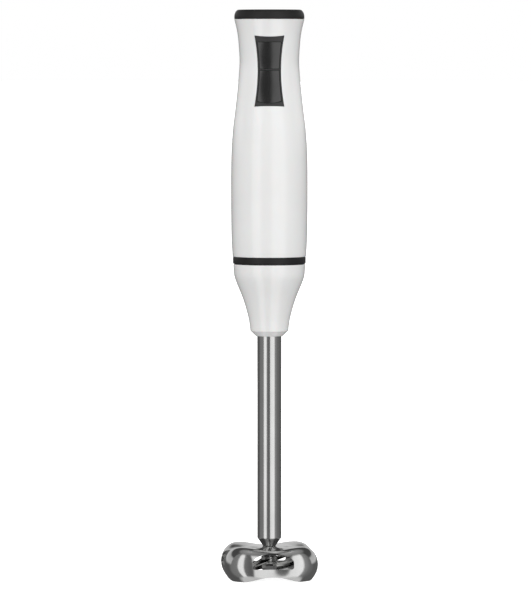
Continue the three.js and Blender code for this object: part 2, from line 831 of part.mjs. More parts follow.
function tubeSection(angle) {
  const shoulder = tubeFoot + neckHeight + 1.2;
  const cone = (share, cut) => {
    const radius = THREE.MathUtils.lerp(neckRadius, tubeRadius, share);
    return [radius - cut * fluteDepth * fluteShare(angle), tubeFoot + neckHeight * share];
  };
  const outside = [[neckRadius, tubeFoot], cone(0.35, 0.8), cone(0.75, 1), [tubeRadius, shoulder]];
  const inside = outside.map(([r, z], i) => [i < 3 ? r - tubeWall * 1.2 : r - tubeWall, z + (i ? 0.3 : 0)]);
  return [...outside, [tubeRadius, tubeTop], [tubeRadius - tubeWall, tubeTop], ...inside.reverse()];
}
piece("shaft_tube", sweepRound(tubeSection, 32), stainless);

const insertRadius = tubeRadius - tubeWall - gap;
const bush = (low, length) => ring(insertRadius, shaftRadius + running, low, low + length, MEDIUM);
const bushLength = 11;
piece("upper_shaft_bush", bush(tubeTop - bushLength - 0.3, bushLength), bronze);
piece("middle_shaft_guide", bush((tubeFoot + tubeTop) / 2 - 9, 18), nylon);
piece("lower_shaft_bush", bush(tubeFoot + neckHeight + 2.4, bushLength), bronze);

const retainerTop = tubeFoot - guardSheet - gap;
const retainerBottom = retainerTop - 5;
const retainerRadius = 10.8;
const sealRadius = 6.4;
const sealBottom = retainerBottom + 1.3;
piece(
  "seal_retainer",
  revolve(
    [
      [shaftRadius + 0.7, retainerBottom],
      [retainerRadius - 2, retainerBottom],
      [retainerRadius, retainerBottom + 1.6],
      [retainerRadius, retainerTop],
      [sealRadius + gap, retainerTop],
      [sealRadius + gap, sealBottom - gap],
      [shaftRadius + 0.7, sealBottom - gap],
    ],
    MEDIUM,
  ),
  charcoal,
);
piece(
  "shaft_seal",
  revolve(
    [
      [shaftRadius + running, sealBottom + 1.3],
      [shaftRadius + 1.2, sealBottom],
      [sealRadius, sealBottom],
      [sealRadius, retainerTop - gap],
      [shaftRadius + 1.2, retainerTop - gap],
      [shaftRadius + running, sealBottom + 2.1],
    ],
    MEDIUM,
  ),
  rubber,
);

const driveBottom = bladeHeight - 5.6;
piece("drive_shaft", disc(shaftRadius, driveBottom, driveTop, 20), steel);
piece(
  "shaft_circlip",
  ring(shaftRadius + 2.6, shaftRadius + running, tubeTop + 2.2, tubeTop + 3.2).subtract(
    block(0, 8, -1.3, 1.3, tubeTop, tubeTop + 5),
  ),
  zinc,
);

// ---------------------------------------------------------------- guard

// How far a direction is into a lobe: 0 in the middle of a valley, 1 on a lobe.
const lobeShare = (angle) => (1 - Math.cos(4 * angle)) / 2;
const hubHole = neckRadius + gap;
const hubFlat = retainerRadius + 0.4;

// The guard's sheet in one direction, as a closed [radius, height] outline.
function guardSection(angle) {
  const lobe = lobeShare(angle);
  const radius = THREE.MathUtils.lerp(valleyRadius, lobeRadius, lobe);
  const crest = THREE.MathUtils.lerp(valleyCrest, lobeCrest, lobe);
  const rim = rimRise * (1 - Math.min(1, lobe * 1.12)); // level under each lobe, for a foot
  const bend = 9.5;
  const hemInset = THREE.MathUtils.lerp(valleyHemInset, lobeHemInset, lobe);
  const side = (inset) => {
    const shoulder = Array.from({ length: 5 }, (_, i) => {
      const a = (Math.PI / 2) * (i / 4);
      const drop = crest - girthHeight - inset;
      return [radius - bend + (bend - inset) * Math.cos(a), girthHeight + drop * Math.sin(a)];
    });
    return [
      [radius - hemInset - inset, rim],
      [radius - hemInset * 0.27 - inset, rim + (girthHeight - rim) * 0.5],
      ...shoulder,
      [hubFlat, tubeFoot - inset],
      [hubHole, tubeFoot - inset],
    ];
  };
  return [...side(0), ...side(guardSheet).reverse()];
}

// An arched window through each valley, above a band of hem.
function guardWindows() {
  const half = windowWidth / 2;
  const sill = rimRise + hemBand;
  const spring = sill + 4.6;
  const shape = new THREE.Shape();
  shape.moveTo(-half + 1.5, sill);
  shape.lineTo(half - 1.5, sill);
  shape.quadraticCurveTo(half, sill, half, sill + 1.5);
  shape.lineTo(half, spring);
  shape.absellipse(0, spring, half, windowTop - spring, 0, Math.PI, false, 0);
  shape.lineTo(-half, sill + 1.5);
  shape.quadraticCurveTo(-half, sill, -half + 1.5, sill);
  return around(prismY(shape, -45, -16, 6), 4);
}
piece(
  "blade_guard",
  turned(sweepRound(guardSection, 40).subtract(guardWindows()), guardTurn),
  stainless,
);

// ---------------------------------------------------------------- blade

// One wing, drawn in X and Y from the hub out to its tip, with a swept leading edge.
function wingShape() {
  const half = bladeWidth / 2;
  const shape = new THREE.Shape();
  shape.moveTo(0, -half);
  shape.lineTo(9, -half);
  shape.quadraticCurveTo(bladeReach - 3, -half, bladeReach, half - 2.2);
  shape.quadraticCurveTo(bladeReach - 2, half - 0.2, bladeReach - 6, half - 1.6);
  shape.quadraticCurveTo(12, half - 3, 7, half);
  shape.lineTo(0, half);
  shape.closePath();
  return shape;
}

function blade() {
  const wing = (pitch) => {
    const root = 4;
    const flat = prismZ(wingShape(), 0, bladeSheet, 5);
    return flat.translate([-root, 0, 0]).rotate([0, pitch, 0]).translate([root, 0, bladeHeight]);
  };
  const hub = disc(5.6, bladeHeight - 1.6, bladeHeight + 3, 24);
  return turned(
    union([hub, wing(-14), turned(wing(26), 180)]).subtract(disc(shaftRadius + gap, 0, 40, 20)),
    bladeTurn,
  );
}
piece("blade", blade(), stainless);

const nutHigh = bladeHeight - 1.9;
piece(
  "blade_nut",
  disc(5, driveBottom - 1, nutHigh, 6).subtract(disc(shaftRadius + gap, driveBottom - gap, 40, 20)),
  stainless,
);

export default group;
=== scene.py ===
import json
import math

import bmesh
import bpy
from mathutils import Matrix, Vector


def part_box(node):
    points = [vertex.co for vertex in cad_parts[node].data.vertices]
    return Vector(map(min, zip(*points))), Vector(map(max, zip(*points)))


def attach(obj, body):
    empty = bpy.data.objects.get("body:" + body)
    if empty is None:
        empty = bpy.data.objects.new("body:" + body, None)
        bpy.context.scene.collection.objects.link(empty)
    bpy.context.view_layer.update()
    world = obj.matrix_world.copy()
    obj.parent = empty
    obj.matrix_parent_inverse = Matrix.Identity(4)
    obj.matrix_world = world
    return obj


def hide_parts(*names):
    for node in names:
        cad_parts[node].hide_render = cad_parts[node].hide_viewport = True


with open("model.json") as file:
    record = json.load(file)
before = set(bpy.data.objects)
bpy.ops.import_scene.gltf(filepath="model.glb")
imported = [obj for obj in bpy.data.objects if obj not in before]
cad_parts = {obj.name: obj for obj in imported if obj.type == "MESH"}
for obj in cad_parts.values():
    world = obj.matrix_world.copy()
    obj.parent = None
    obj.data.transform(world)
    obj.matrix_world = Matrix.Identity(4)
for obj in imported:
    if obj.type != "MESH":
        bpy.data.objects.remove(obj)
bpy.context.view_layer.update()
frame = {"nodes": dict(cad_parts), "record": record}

MM = 0.001
TAU = 2 * math.pi

# ---------------------------------------------------------------- sizes, in millimetres, from the CAD part


def heights(node):
    """Lowest and highest point of a CAD node, in millimetres."""
    low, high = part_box(node)
    return low[2] / MM, high[2] / MM


SEAM = 0.1
TUBE_FOOT = heights("shaft_tube")[0]
SLEEVE_BOTTOM = heights("leg_sleeve")[0]
COLLAR_BOTTOM = heights("lock_collar")[0]
HOUSING_BOTTOM, HOUSING_TOP = heights("front_housing")
CAP_TOP = heights("top_cap")[1]
SLEEVE_TOP = COLLAR_BOTTOM - 0.3
FLANGE_TOP = HOUSING_BOTTOM - SEAM
CAP_BOTTOM = HOUSING_TOP + SEAM
WALL = 2.2
PANEL_TOP = HOUSING_TOP - 11.2
PANEL_BOTTOM = PANEL_TOP - 47.7
PANEL_MIDDLE = PANEL_BOTTOM + 0.52 * (PANEL_TOP - PANEL_BOTTOM)
PANEL_END, PANEL_WAIST, PANEL_SAG, PANEL_RIM = 10.0, 7.75, 0.8, 0.9
SPEED_SPAN = (PANEL_MIDDLE + 0.45, PANEL_TOP - 4.2)
TURBO_SPAN = (PANEL_BOTTOM + 3.6, PANEL_MIDDLE - 0.45)
KEY_SAG, KEY_GAP = 1.6, 0.13


def catmull(points, steps=24):
    """Points of a uniform Catmull-Rom curve, the ends' tangents taken from the ends themselves."""
    out = []
    last = len(points) - 1
    for i in range(last):
        p0, p1 = points[max(i - 1, 0)], points[i]
        p2, p3 = points[i + 1], points[min(i + 2, last)]
        for k in range(steps + (i == last - 1)):
            t = k / steps
            out.append(tuple(
                (2 * b - 2 * c + 0.5 * (c - a) + 0.5 * (d - b)) * t ** 3
                + (-3 * b + 3 * c - (c - a) - 0.5 * (d - b)) * t ** 2
                + 0.5 * (c - a) * t + b
                for a, b, c, d in zip(p0, p1, p2, p3)
            ))
    return out


def radius_along(curve):
    """A function giving the curve's radius at a height."""
    def at(z):
        if z <= curve[0][1]:
            return curve[0][0]
        for (r0, z0), (r1, z1) in zip(curve, curve[1:]):
            if z <= z1:
                return r0 + (r1 - r0) * (z - z0) / max(z1 - z0, 1e-9)
        return curve[-1][0]
    return at


HOUSING_POINTS = [
    (24.9, 0), (25.65, 0.087), (25.95, 0.25), (25.8, 0.41), (24.8, 0.524), (23.2, 0.61), (22, 0.675),
    (20.7, 0.76), (20.15, 0.827), (20.77, 0.894), (21.4, 0.933), (22.4, 0.966), (23.75, 1),
]
housing_radius = radius_along(catmull(
    [(r, HOUSING_BOTTOM + s * (HOUSING_TOP - HOUSING_BOTTOM)) for r, s in HOUSING_POINTS]))
sleeve_curve = catmull([
    (12.9, SLEEVE_BOTTOM + 4), (13.4, SLEEVE_TOP - 40.8), (14.4, SLEEVE_TOP - 35.4), (17.5, SLEEVE_TOP - 24.5),
    (21.85, SLEEVE_TOP - 13.6), (23.7, SLEEVE_TOP - 8.2), (24.25, SLEEVE_TOP - 2.7), (24.35, SLEEVE_TOP),
], 10)


# ---------------------------------------------------------------- mesh helpers

def piece(name, bm, body, material, replaces=(), sharp=35):
    """Turns a bmesh in millimetres into a finished object that rides on a CAD body."""
    bmesh.ops.remove_doubles(bm, verts=bm.verts, dist=1e-5)
    bmesh.ops.recalc_face_normals(bm, faces=bm.faces)
    for face in bm.faces:
        face.smooth = True
    for edge in bm.edges:
        if len(edge.link_faces) == 2 and edge.calc_face_angle(0) > math.radians(sharp):
            edge.smooth = False
    bmesh.ops.scale(bm, vec=(MM, MM, MM), verts=bm.verts)
    mesh = bpy.data.meshes.new(name)
    bm.to_mesh(mesh)
    bm.free()
    obj = bpy.data.objects.new(name, mesh)
    bpy.context.scene.collection.objects.link(obj)
    mesh.materials.append(material)
    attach(obj, body)
    if replaces:
        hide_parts(*replaces)
    return obj


def rounded(profile, radius, steps=3, only=None):
    """The same closed outline with its corners rounded."""
    out = []
    count = len(profile)
    for i, p in enumerate(profile):
        if only is not None and i not in only:
            out.append(tuple(p))
            continue
        a, b = Vector(profile[i - 1]), Vector(profile[(i + 1) % count])
        p = Vector(p)
        reach = min(radius, (a - p).length * 0.45, (b - p).length * 0.45)
        s, e = p + (a - p).normalized() * reach, p + (b - p).normalized() * reach
        for k in range(steps + 1):
            t = k / steps
            out.append(tuple(s * (1 - t) ** 2 + p * 2 * t * (1 - t) + e * t * t))
    return out


def sweep(bm, section_at, angles, closed=True):
    """Closed outlines [radius, height] set round Z at each angle and skinned."""
    rings = []
    for a in angles:
        ca, sa = math.cos(a), math.sin(a)
        rings.append([bm.verts.new((r * ca, r * sa, z)) for r, z in section_at(a)])
    pairs = list(zip(rings, rings[1:]))
    if closed:
        pairs.append((rings[-1], rings[0]))
    for one, two in pairs:
        n = len(one)
        for j in range(n):
            k = (j + 1) % n
            bm.faces.new((one[j], two[j], two[k], one[k]))
    if not closed:
        bm.faces.new(rings[0])
        bm.faces.new(reversed(rings[-1]))
    return bm


def lathe(profile, sides=128, centre=(0, 0)):
    """A solid of revolution from a closed outline. Points on the axis are merged there."""
    bm = bmesh.new()
    sweep(bm, lambda a: profile, [TAU * i / sides for i in range(sides)])
    bmesh.ops.remove_doubles(bm, verts=bm.verts, dist=1e-5)
    bmesh.ops.translate(bm, verts=bm.verts, vec=(centre[0], centre[1], 0))
    return bm


def prism(points, low, high, axis="Y"):
    """A closed outline in X and Z carried along Y, or in X and Y carried along Z."""
    bm = bmesh.new()
    place = (lambda p, d: (p[0], d, p[1])) if axis == "Y" else (lambda p, d: (p[0], p[1], d))
    one = [bm.verts.new(place(p, low)) for p in points]
    two = [bm.verts.new(place(p, high)) for p in points]
    bm.faces.new(one)
    bm.faces.new(reversed(two))
    for i in range(len(points)):
        k = (i + 1) % len(points)
        bm.faces.new((one[i], two[i], two[k], one[k]))
    bmesh.ops.recalc_face_normals(bm, faces=bm.faces)
    return bm


def cut(bm, cutters):
    """Takes the cutters out of a bmesh with exact booleans."""
    def loose(source, name):
        mesh = bpy.data.meshes.new(name)
        bmesh.ops.recalc_face_normals(source, faces=source.faces)
        source.to_mesh(mesh)
        source.free()
        obj = bpy.data.objects.new(name, mesh)
        bpy.context.scene.collection.objects.link(obj)
        return obj
    target = loose(bm, "cut_target")
    tools = [loose(c, "cut_tool") for c in cutters]
    for tool in tools:
        mod = target.modifiers.new("cut", "BOOLEAN")
        mod.operation, mod.solver, mod.object = "DIFFERENCE", "EXACT", tool
    graph = bpy.context.evaluated_depsgraph_get()
    out = bmesh.new()
    out.from_object(target, graph)
    for obj in [target, *tools]:
        mesh = obj.data
        bpy.data.objects.remove(obj)
        bpy.data.meshes.remove(mesh)
    return out


def arc(cx, cy, r, a0, a1, steps, ry=None):
    ry = r if ry is None else ry
    return [(cx + r * math.cos(math.radians(a0 + (a1 - a0) * i / steps)),
             cy + ry * math.sin(math.radians(a0 + (a1 - a0) * i / steps))) for i in range(steps + 1)]


# ---------------------------------------------------------------- materials

class Nodes:
    """A small builder round one material's node tree."""

    def __init__(self, name):
        self.material = bpy.data.materials.new(name)
        self.material.use_nodes = True
        self.tree = self.material.node_tree
        self.tree.nodes.clear()
        self.shader = self.add("ShaderNodeBsdfPrincipled")
        out = self.add("ShaderNodeOutputMaterial")
        self.link(self.shader.outputs["BSDF"], out.inputs["Surface"])
        self.coords = self.add("ShaderNodeTexCoord").outputs["Object"]

    def add(self, kind, **values):
        node = self.tree.nodes.new(kind)
        for key, value in values.items():
            if key in node.inputs:
                node.inputs[key].default_value = value
            else:
                setattr(node, key, value)
        return node

    def link(self, a, b):
        self.tree.links.new(a, b)

    def stretched(self, scale):
        node = self.add("ShaderNodeMapping")
        node.inputs["Scale"].default_value = scale
        self.link(self.coords, node.inputs["Vector"])
        return node.outputs["Vector"]

    def noise(self, scale, detail=3.0, stretch=None, rough=0.55):
        node = self.add("ShaderNodeTexNoise", Scale=scale, Detail=detail, Roughness=rough)
        self.link(self.stretched(stretch) if stretch else self.coords, node.inputs["Vector"])
        return node.outputs["Fac"]

    def between(self, value, low, high, a=0.3, b=0.7):
        node = self.add("ShaderNodeMapRange")
        node.inputs["From Min"].default_value = a
        node.inputs["From Max"].default_value = b
        node.inputs["To Min"].default_value = low
        node.inputs["To Max"].default_value = high
        self.link(value, node.inputs["Value"])
        return node.outputs["Result"]

    def colours(self, value, low, high, a=0.3, b=0.7):
        node = self.add("ShaderNodeValToRGB")
        node.color_ramp.elements[0].position = a
        node.color_ramp.elements[0].color = (*low, 1)
        node.color_ramp.elements[1].position = b
        node.color_ramp.elements[1].color = (*high, 1)
        self.link(value, node.inputs["Fac"])
        return node.outputs["Color"]

    def bumps(self, *layers):
        """Each layer is (height, strength, distance in millimetres)."""
        normal = None
        for height, strength, distance in layers:
            node = self.add("ShaderNodeBump")
            node.inputs["Strength"].default_value = strength
            node.inputs["Distance"].default_value = distance * MM
            self.link(height, node.inputs["Height"])
            if normal is not None:
                self.link(normal, node.inputs["Normal"])
            normal = node.outputs["Normal"]
        self.link(normal, self.shader.inputs["Normal"])

    def sets(self, **values):
        for key, value in values.items():
            self.shader.inputs[key.replace("_", " ")].default_value = value


def glossy_plastic(name, low, high):
    n = Nodes(name)
    cloud = n.noise(28, 4)
    n.link(n.colours(cloud, low, high), n.shader.inputs["Base Color"])
    smear = n.noise(60, 5, (1, 1, 0.35), 0.65)
    n.link(n.between(smear, 0.12, 0.2), n.shader.inputs["Roughness"])
    n.bumps((n.noise(420, 2), 0.10, 0.02), (n.noise(90, 2), 0.08, 0.05))
    n.sets(Coat_Weight=0.6, Coat_Roughness=0.05, IOR=1.5, Subsurface_Weight=0.06, Subsurface_Scale=0.003)
    return n.material


def satin_plastic(name, low, high, rough=(0.34, 0.46), grain=1500, depth=0.03, shine=0.5):
    n = Nodes(name)
    cloud = n.noise(40, 5)
    n.link(n.colours(cloud, low, high), n.shader.inputs["Base Color"])
    n.link(n.between(n.noise(75, 5, None, 0.65), *rough), n.shader.inputs["Roughness"])
    n.bumps((n.noise(grain, 2), 0.35, depth), (n.noise(110, 2), 0.08, 0.04))
    n.sets(IOR=1.48, Specular_IOR_Level=shine)
    return n.material


def rubber_like(name, low, high):
    n = Nodes(name)
    n.link(n.colours(n.noise(50, 5), low, high), n.shader.inputs["Base Color"])
    n.link(n.between(n.noise(160, 4), 0.6, 0.82), n.shader.inputs["Roughness"])
    n.bumps((n.noise(900, 3), 0.4, 0.04))
    n.sets(IOR=1.45, Sheen_Weight=0.15)
    return n.material


def metal(name, low, high, rough=(0.08, 0.16), brushed=None, strength=0.05, fine=700):
    """brushed stretches the fine lines: (1, 1, 0.02) runs them along the axis."""
    n = Nodes(name)
    n.link(n.colours(n.noise(35, 4), low, high), n.shader.inputs["Base Color"])
    lines = n.noise(fine, 3, brushed) if brushed else n.noise(fine, 3)
    smear = n.noise(55, 5, None, 0.7)
    mix = n.add("ShaderNodeMath", operation="MULTIPLY_ADD")
    n.link(lines, mix.inputs[0])
    mix.inputs[1].default_value = 0.5
    n.link(smear, mix.inputs[2])
    n.link(n.between(mix.outputs[0], rough[0], rough[1], 0.5, 1.0), n.shader.inputs["Roughness"])
    n.bumps((lines, strength, 0.02), (n.noise(70, 2), 0.04, 0.05))
    n.sets(Metallic=1.0)
    return n.material


def laminate(name, low, high):
    n = Nodes(name)
    weave = n.noise(600, 2, (1, 0.1, 1))
    n.link(n.colours(weave, low, high), n.shader.inputs["Base Color"])
    n.link(n.between(n.noise(120, 3), 0.35, 0.5), n.shader.inputs["Roughness"])
    n.bumps((weave, 0.2, 0.03))
    return n.material


white = glossy_plastic("white_gloss_plastic", (0.735, 0.735, 0.73), (0.76, 0.76, 0.755))
charcoal = satin_plastic(
    "charcoal_plastic", (0.009, 0.009, 0.009), (0.014, 0.014, 0.014), (0.42, 0.54), shine=0.35)
panel_black = satin_plastic("panel_plastic", (0.022, 0.022, 0.022), (0.03, 0.03, 0.03), (0.38, 0.5))
button_black = satin_plastic(
    "button_plastic", (0.006, 0.006, 0.006), (0.01, 0.01, 0.01), (0.18, 0.26), 2200, 0.006, 1.0)
rubber = rubber_like("black_rubber", (0.012, 0.012, 0.012), (0.03, 0.03, 0.03))
stainless = metal("stainless_polished", (0.57, 0.57, 0.565), (0.66, 0.66, 0.655), (0.07, 0.17))
tube_steel = metal("stainless_drawn", (0.60, 0.60, 0.595), (0.67, 0.67, 0.665), (0.10, 0.18), (1, 1, 0.015), 0.06, 900)
blade_steel = metal("stainless_ground", (0.5, 0.5, 0.495), (0.62, 0.62, 0.61), (0.14, 0.3), (0.08, 1, 1), 0.12, 900)
by_slot = {
    "white_plastic": white,
    "charcoal_plastic": charcoal,
    "satin_black": button_black,
    "black_rubber": rubber,
    "stainless": stainless,
    "steel": metal("bright_steel", (0.35, 0.35, 0.36), (0.48, 0.48, 0.48), (0.25, 0.45), (1, 1, 0.05), 0.15),
    "zinc": metal("zinc_plate", (0.48, 0.49, 0.50), (0.62, 0.62, 0.63), (0.22, 0.4), None, 0.1),
    "ferrite": satin_plastic("ferrite", (0.03, 0.03, 0.032), (0.06, 0.06, 0.064), (0.7, 0.9), 1200, 0.08),
    "carbon": satin_plastic("carbon", (0.01, 0.01, 0.011), (0.025, 0.025, 0.026), (0.6, 0.85), 1500, 0.05),
    "brass": metal("brass", (0.5, 0.36, 0.13), (0.62, 0.46, 0.19), (0.2, 0.4), None, 0.1),
    "bronze": metal("sintered_bronze", (0.3, 0.18, 0.08), (0.45, 0.28, 0.13), (0.35, 0.6), None, 0.35, 1600),
    "copper": metal("copper", (0.5, 0.19, 0.08), (0.62, 0.27, 0.13), (0.2, 0.4), (1, 1, 0.1), 0.3),
    "dark_moulding": satin_plastic("dark_moulding", (0.015, 0.02, 0.03), (0.03, 0.035, 0.045), (0.4, 0.6)),
    "nylon": satin_plastic("nylon", (0.6, 0.57, 0.48), (0.72, 0.69, 0.6), (0.4, 0.55), 900, 0.03),
    "board_laminate": laminate("board_laminate", (0.03, 0.13, 0.05), (0.05, 0.19, 0.07)),
    "blue_film": satin_plastic("blue_film", (0.03, 0.08, 0.27), (0.05, 0.11, 0.34), (0.3, 0.45), 500, 0.02),
}
for sub in frame["record"]["subparts"]:
    node = frame["nodes"][sub["node"]]
    node.data.materials.clear()
    node.data.materials.append(by_slot[sub["material_slot"]])


# ---------------------------------------------------------------- handle shells

def panel_half_width(inset):
    """Half the panel's width against height, for an outline moved in by inset."""
    low, high = PANEL_BOTTOM + inset, PANEL_TOP - inset
    end, waist = PANEL_END - inset, PANEL_WAIST - inset
    pull = 2 * waist - end
    table = []
    for i in range(61):
        t = i / 60
        table.append(((1 - t) ** 2 * end + 2 * t * (1 - t) * pull + t * t * end,
                      (1 - t) ** 2 * low + 2 * t * (1 - t) * PANEL_MIDDLE + t * t * high))
    return radius_along(table)


def panel_outline(inset, steps=28):
    low, high = PANEL_BOTTOM + inset, PANEL_TOP - inset
    end = PANEL_END - inset
    half = panel_half_width(inset)
    right = [(half(low + (high - low) * i / steps), low + (high - low) * i / steps) for i in range(steps + 1)]
    top = [(end * (1 - 2 * i / 12), high - PANEL_SAG * (1 - (1 - 2 * i / 12) ** 2)) for i in range(1, 12)]
    left = [(-x, z) for x, z in reversed(right)]
    bottom = [(-end * (1 - 2 * i / 12), low + PANEL_SAG / 2 * (1 - (1 - 2 * i / 12) ** 2)) for i in range(1, 12)]
    return right + top + left + bottom


def half_shell(first, last):
    """Half of the handle's wall between two angles, its long edges eased where the halves meet."""
    steps = 96
    heights = [HOUSING_BOTTOM + (HOUSING_TOP - HOUSING_BOTTOM) * i / steps for i in range(steps + 1)]
    ease = 0.3

    def section(drop):
        outer = [(housing_radius(z) - drop, z) for z in heights]
        outer[0] = (outer[0][0] - ease, HOUSING_BOTTOM)
        outer.insert(1, (housing_radius(HOUSING_BOTTOM) - drop - 0.08, HOUSING_BOTTOM + 0.12))
        outer.insert(2, (housing_radius(HOUSING_BOTTOM) - drop, HOUSING_BOTTOM + ease))
        outer[-1] = (outer[-1][0] - ease, HOUSING_TOP)
        outer.insert(-1, (housing_radius(HOUSING_TOP) - drop - 0.05, HOUSING_TOP - ease))
        inner = [(housing_radius(z) - WALL, z) for z in reversed(heights[::4])]
        return outer + inner

    edge = [(0.0, 0.32), (0.25, 0.12), (0.7, 0.02), (1.4, 0.0)]
    count = 90
    marks = [(first + math.radians(a), d) for a, d in edge]
    marks += [(first + (last - first) * (i + 3) / (count + 6), 0.0) for i in range(count + 1)]
    marks += [(last - math.radians(a), d) for a, d in reversed(edge)]
    drops = dict(marks)
    bm = bmesh.new()
    return sweep(bm, lambda a: section(drops[a]), [a for a, _ in marks], closed=False)


slack = SEAM / 25
front = cut(half_shell(math.pi + slack, TAU - slack), [prism(panel_outline(-0.15), -40, -8)])
piece("front_shell", front, "motor_unit", white, ["front_housing"])


def slot_cutter(width, low, high, turn):
    half = width / 2
    outline = arc(0, high - half, half, 0, 180, 10) + arc(0, low + half, half, 180, 360, 10)
    bm = prism(outline, 12, 40)
    bmesh.ops.rotate(bm, verts=bm.verts, cent=(0, 0, 0), matrix=Matrix.Rotation(turn, 3, "Z"))
    return bm


MOTOR_BOTTOM = 233.8
MOTOR_TOP = MOTOR_BOTTOM + 0.36 * (HOUSING_TOP - HOUSING_BOTTOM)
BOSSES = [(s * 14.7, z) for z in (HOUSING_TOP - 8.6, PANEL_BOTTOM - 8) for s in (-1, 1)]
cutters = []
for low, high in ((MOTOR_TOP + 8, MOTOR_TOP + 20), (MOTOR_BOTTOM + 5, MOTOR_BOTTOM + 17)):
    cutters += [slot_cutter(2, low, high, math.radians(10 * i)) for i in range(-2, 3)]
for x, z in BOSSES:
    cutters.append(prism(arc(x, z, 3.0, 0, 345, 23), 7.6, 40))
piece("rear_shell", cut(half_shell(slack, math.pi - slack), cutters), "motor_unit", white,
      ["rear_housing"])
for i, (x, z) in enumerate(BOSSES):
    well = prism(arc(x, z, 3.55, 0, 354, 59), 7.5, 13.5)
    well = cut(well, [prism(arc(x, z, 2.98, 0, 354, 59), 7.9, 20)])
    piece("screw_well_%d" % (i + 1), well, "motor_unit", white)

# ---------------------------------------------------------------- cap and gland

corner = [(23.75 - 3.2 * (1 - math.cos(math.radians(a))), CAP_TOP - 4.8 * (1 - math.sin(math.radians(a))))
          for a in range(0, 91, 6)]
cap_profile = [(0, CAP_TOP - 2.4), (19.2, CAP_TOP - 2.4), (19.2, CAP_BOTTOM - 3), (20, CAP_BOTTOM - 3),
               (20.8, CAP_BOTTOM), (23.45, CAP_BOTTOM), (23.7, CAP_BOTTOM + 0.1), (23.75, CAP_BOTTOM + 0.35)]
cap_profile += corner + [(r, CAP_TOP) for r in (20.2, 18, 14, 10, 6, 3)] + [(0, CAP_TOP)]
cap = cut(lathe(cap_profile, 144), [prism([(x, y + 11) for x, y in arc(0, 0, 5.1, 0, 354, 59)], 370, 400, "Z")])
piece("cap_shell", cap, "motor_unit", charcoal, ["top_cap"])

gland_profile = rounded([
    (3.3, CAP_TOP - 4.2), (6.3, CAP_TOP - 4.2), (6.3, CAP_TOP - 2.5), (5, CAP_TOP - 2.5), (5, CAP_TOP - 0.3),
    (3.8, CAP_TOP - 0.3), (3.3, CAP_TOP - 0.8)], 0.25)
piece("cord_gland_ring", lathe(gland_profile, 72, (0, 11)), "motor_unit", rubber, ["cord_gland"])


# ---------------------------------------------------------------- control panel

def on_surface(x, z, offset):
    r = housing_radius(z) + offset
    return (x, -math.sqrt(max(r * r - x * x, 0)), z)


def spread(a, b, n):
    return [a + (b - a) * i / n for i in range(n + 1)]


def close_and_bevel(bm, depth, width, segments=3):
    """Gives a sheet of faces a back, depth behind it along Y, and rounds the front's rim."""
    rim = [e for e in bm.edges if len(e.link_faces) == 1]
    side = bmesh.ops.extrude_edge_only(bm, edges=rim)["geom"]
    new_verts = [g for g in side if isinstance(g, bmesh.types.BMVert)]
    bmesh.ops.translate(bm, verts=new_verts, vec=(0, depth, 0))
    bmesh.ops.recalc_face_normals(bm, faces=bm.faces)
    bmesh.ops.bevel(bm, geom=rim, offset=width, segments=segments, profile=0.5, affect="EDGES")
    return bm


def key_sag(z):
    """How far the lower key's foot hangs down in its middle, fading out upwards."""
    rise = min(1, max(0, (z - TURBO_SPAN[0]) / (TURBO_SPAN[1] - TURBO_SPAN[0])))
    return KEY_SAG * (1 - rise) ** 3


def bezel_surface():
    """The panel's surround: lips, bar and side rims, with the two windows left open."""
    outer, inner = panel_half_width(0), panel_half_width(PANEL_RIM)
    rows = (spread(PANEL_BOTTOM, TURBO_SPAN[0], 4)[:-1] + spread(*TURBO_SPAN, 14)[:-1]
            + spread(TURBO_SPAN[1], SPEED_SPAN[0], 2)[:-1] + spread(*SPEED_SPAN, 14)[:-1]
            + spread(SPEED_SPAN[1], PANEL_TOP, 4))
    bm = bmesh.new()
    grid = []
    for z in rows:
        inset_z = min(max(z, PANEL_BOTTOM + PANEL_RIM), PANEL_TOP - PANEL_RIM)
        wide, narrow = outer(z), min(inner(inset_z), outer(z) - 0.5)
        xs = spread(-wide, -narrow, 2)[:-1] + spread(-narrow, narrow, 14)[:-1] + spread(narrow, wide, 2)
        top = max(0, (z - SPEED_SPAN[1]) / (PANEL_TOP - SPEED_SPAN[1]))
        bottom = max(0, (TURBO_SPAN[0] - z) / (TURBO_SPAN[0] - PANEL_BOTTOM))
        sag = PANEL_SAG * (0.5 * bottom - top) - key_sag(z) * (1 - bottom)
        in_bar = TURBO_SPAN[1] <= z <= SPEED_SPAN[0]
        grid.append([bm.verts.new(on_surface(x, z + sag * (1 - (x / wide) ** 2),
                                             -0.5 if in_bar and abs(x) < narrow - 0.1 else 0.3)) for x in xs])
    for j in range(len(rows) - 1):
        middle = (rows[j] + rows[j + 1]) / 2
        open_row = TURBO_SPAN[0] < middle < TURBO_SPAN[1] or SPEED_SPAN[0] < middle < SPEED_SPAN[1]
        for i in range(18):
            if not (open_row and 2 <= i < 16):
                bm.faces.new((grid[j][i], grid[j][i + 1], grid[j + 1][i + 1], grid[j + 1][i]))
    return bm


piece("panel_surround", close_and_bevel(bezel_surface(), 2.6, 0.14), "motor_unit", panel_black,
      ["button_bezel"])


